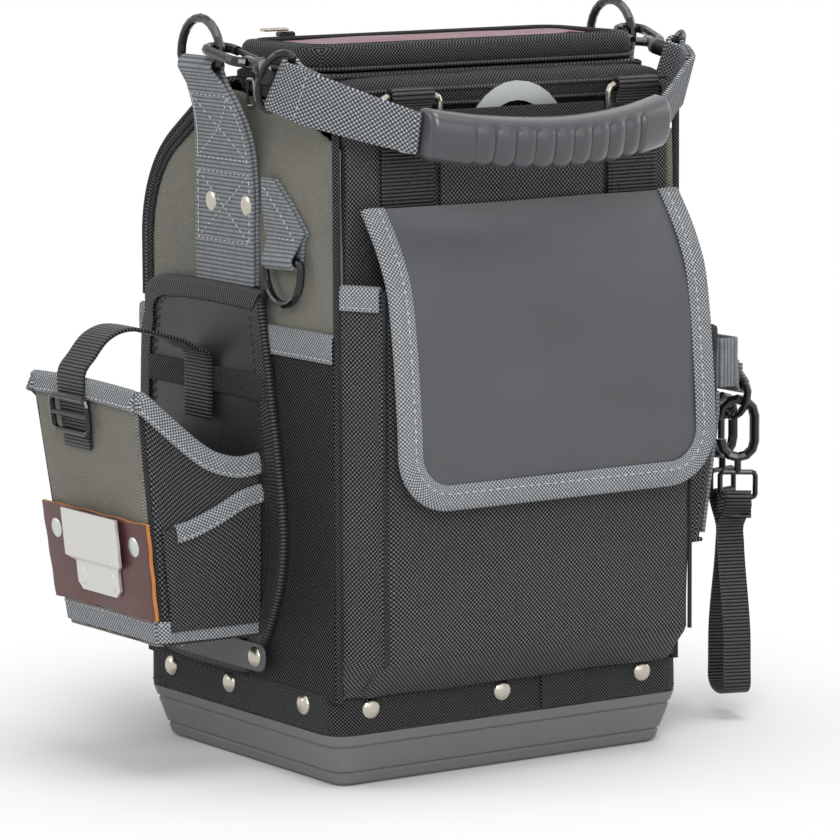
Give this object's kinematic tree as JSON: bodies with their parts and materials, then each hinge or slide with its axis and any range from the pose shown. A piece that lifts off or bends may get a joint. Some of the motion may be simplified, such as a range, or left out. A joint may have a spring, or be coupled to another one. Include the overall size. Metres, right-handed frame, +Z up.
{
  "type": "tool pouch",
  "caption": "Upright fabric tool pouch on a moulded tub: zipped lid, rear door, flap pocket, side holster, sleeve pocket with lanyard, carrying handle on snap hooks.",
  "frame": {"origin": "middle of the underside of the moulded base tub", "axes": "+Z up, -Y towards the front flap pocket, -X towards the holster, +X towards the lanyard"},
  "size_m": [0.3575, 0.2356, 0.3713],
  "materials": {
    "black_nylon": "coarse ballistic nylon",
    "black_webbing": "woven webbing",
    "brown_leather": "smooth",
    "brushed_steel": "brushed",
    "burgundy_vinyl": "smooth vinyl",
    "charcoal_rubber": "satin",
    "dark_coated_fabric": "smooth coated",
    "grey_tub_plastic": "moulded, satin",
    "grey_webbing": "woven webbing",
    "gunmetal": "dark plated",
    "khaki_fabric": "fine coated weave",
    "nickel": "bright plated"
  },
  "bodies": {
    "bag": {"base_tub": "grey_tub_plastic", "clip_plate": "nickel", "collar_roll": "black_webbing", "divider_panel": "black_nylon", "front_panel": "black_nylon", "front_pocket": "black_nylon", "front_tool_slots": "black_nylon", "holster_back": "dark_coated_fabric", "holster_pouch": "khaki_fabric", "holster_strap": "black_webbing", "leather_patch": "brown_leather", "left_front_strap": "black_webbing", "left_panel": "khaki_fabric", "left_side_pocket": "black_nylon", "left_strap": "grey_webbing", "mouth_band": "black_nylon", "outer_pocket": "black_nylon", "rear_panel": "black_nylon", "rear_tool_slots": "black_nylon", "right_front_strap": "black_webbing", "right_panel": "khaki_fabric", "right_side_pocket": "black_nylon", "right_strap": "grey_webbing", "rim_tape": "black_webbing", "ring_tab": "grey_webbing", "side_slider": "nickel", "sleeve_pocket": "black_nylon", "sleeve_tail": "black_webbing", "slot_pocket": "black_nylon", "strap_slider": "gunmetal", "tool_loop": "grey_webbing"},
    "top_lid": {"lid_rim": "black_webbing", "lid_panel": "burgundy_vinyl", "lid_slider": "nickel"},
    "lid_pull": {"lid_pull": "nickel"},
    "side_pull": {"side_pull": "nickel"},
    "rear_door": {"rear_door": "black_nylon"},
    "flap": {"flap": "dark_coated_fabric", "flap_binding": "grey_webbing"},
    "steel_ring": {"steel_ring": "brushed_steel"},
    "left_front_ring": {"left_front_ring": "nickel"},
    "right_front_ring": {"right_front_ring": "nickel"},
    "left_ring": {"left_ring": "gunmetal"},
    "right_ring": {"right_ring": "gunmetal"},
    "handle": {"handle_grip": "charcoal_rubber", "left_handle_web": "grey_webbing", "right_handle_web": "grey_webbing", "left_eye": "gunmetal", "right_eye": "gunmetal"},
    "left_hook": {"left_hook": "gunmetal"},
    "right_hook": {"right_hook": "gunmetal"},
    "left_gate": {"left_gate": "gunmetal"},
    "right_gate": {"right_gate": "gunmetal"},
    "side_ring": {"side_ring": "gunmetal"},
    "lanyard_ring": {"lanyard_ring": "gunmetal"},
    "lanyard": {"clip_a": "gunmetal", "clip_b": "gunmetal", "wrist_loop": "black_webbing"},
    "clip_gate_a": {"clip_gate_a": "gunmetal"},
    "clip_gate_b": {"clip_gate_b": "gunmetal"}
  },
  "joints": [
    {"name": "lid_hinge", "type": "hinge", "parent": "bag", "child": "top_lid", "pos_m": [0, 0.0163, 0.3442], "axis": [-1, 0, 0], "range_deg": [0, 110]},
    {"name": "lid_pull_hinge", "type": "hinge", "parent": "top_lid", "child": "lid_pull", "pos_m": [-0.067, 0.0108, 0.3613], "axis": [0, 1, 0], "range_deg": [0, 120]},
    {"name": "side_pull_hinge", "type": "hinge", "parent": "bag", "child": "side_pull", "pos_m": [-0.1018, -0.012, 0.3395], "axis": [0, 1, 0], "range_deg": [0, 60]},
    {"name": "rear_door_hinge", "type": "hinge", "parent": "bag", "child": "rear_door", "pos_m": [0, 0.092, 0.22], "axis": [-1, 0, 0], "range_deg": [0, 120]},
    {"name": "flap_hinge", "type": "hinge", "parent": "bag", "child": "flap", "pos_m": [0, -0.0886, 0.281], "axis": [-1, 0, 0], "range_deg": [0, 70]},
    {"name": "steel_ring_slide", "type": "slide", "parent": "bag", "child": "steel_ring", "axis": [0, 0, 1], "range_m": [0, 0.03]},
    {"name": "left_front_ring_hinge", "type": "hinge", "parent": "bag", "child": "left_front_ring", "pos_m": [-0.0608, -0.0894, 0.334], "axis": [-1, 0, 0], "range_deg": [0, 35]},
    {"name": "right_front_ring_hinge", "type": "hinge", "parent": "bag", "child": "right_front_ring", "pos_m": [0.0728, -0.0894, 0.334], "axis": [-1, 0, 0], "range_deg": [0, 15]},
    {"name": "left_ring_hinge", "type": "hinge", "parent": "bag", "child": "left_ring", "pos_m": [-0.12, 0.0042, 0.3462], "axis": [0, 1, 0], "range_deg": [-3, 3]},
    {"name": "right_ring_hinge", "type": "hinge", "parent": "bag", "child": "right_ring", "pos_m": [0.127, 0.0042, 0.3462], "axis": [0, 1, 0], "range_deg": [-3, 3]},
    {"name": "handle_swing", "type": "hinge", "parent": "bag", "child": "handle", "pos_m": [0, 0.0042, 0.351], "axis": [-1, 0, 0], "range_deg": [0, 105]},
    {"name": "left_hook_swivel", "type": "hinge", "parent": "handle", "child": "left_hook", "pos_m": [-0.12, -0.04815, 0.34865], "axis": [0, -0.9857, -0.1685], "range_deg": [-5, 5]},
    {"name": "left_gate_hinge", "type": "hinge", "parent": "left_hook", "child": "left_gate", "pos_m": [-0.1125, -0.03632, 0.35067], "axis": [0, -0.1685, 0.9857], "range_deg": [0, 14], "stiffness_Nm_per_rad": 0.02, "springref_deg": -11.46},
    {"name": "right_hook_swivel", "type": "hinge", "parent": "handle", "child": "right_hook", "pos_m": [0.11662, -0.04662, 0.34891], "axis": [-0.2924, -0.9426, -0.1611], "range_deg": [-5, 5]},
    {"name": "right_gate_hinge", "type": "hinge", "parent": "right_hook", "child": "right_gate", "pos_m": [0.11296, -0.03315, 0.35121], "axis": [0, 0.1685, -0.9857], "range_deg": [0, 14], "stiffness_Nm_per_rad": 0.02, "springref_deg": -11.46},
    {"name": "side_ring_hinge", "type": "hinge", "parent": "bag", "child": "side_ring", "pos_m": [-0.1054, -0.045, 0.254], "axis": [0, 0.9994, -0.0349], "range_deg": [0, 75]},
    {"name": "lanyard_ring_hinge", "type": "hinge", "parent": "bag", "child": "lanyard_ring", "pos_m": [0.1648, -0.0475, 0.174], "axis": [0, -1, 0], "range_deg": [0, 60]},
    {"name": "lanyard_swing", "type": "hinge", "parent": "lanyard_ring", "child": "lanyard", "pos_m": [0.1648, -0.0475, 0.1565], "axis": [0, -1, 0], "range_deg": [-5, 2.5]},
    {"name": "clip_gate_a_hinge", "type": "hinge", "parent": "lanyard", "child": "clip_gate_a", "pos_m": [0.1581, -0.04877, 0.1457], "axis": [0.6157, 0.788, 0], "range_deg": [0, 11], "stiffness_Nm_per_rad": 0.02, "springref_deg": -11.46},
    {"name": "clip_gate_b_hinge", "type": "hinge", "parent": "lanyard", "child": "clip_gate_b", "pos_m": [0.15649, -0.04277, 0.1457], "axis": [-0.2079, 0.9781, 0], "range_deg": [0, 11], "stiffness_Nm_per_rad": 0.02, "springref_deg": -11.46}
  ]
}
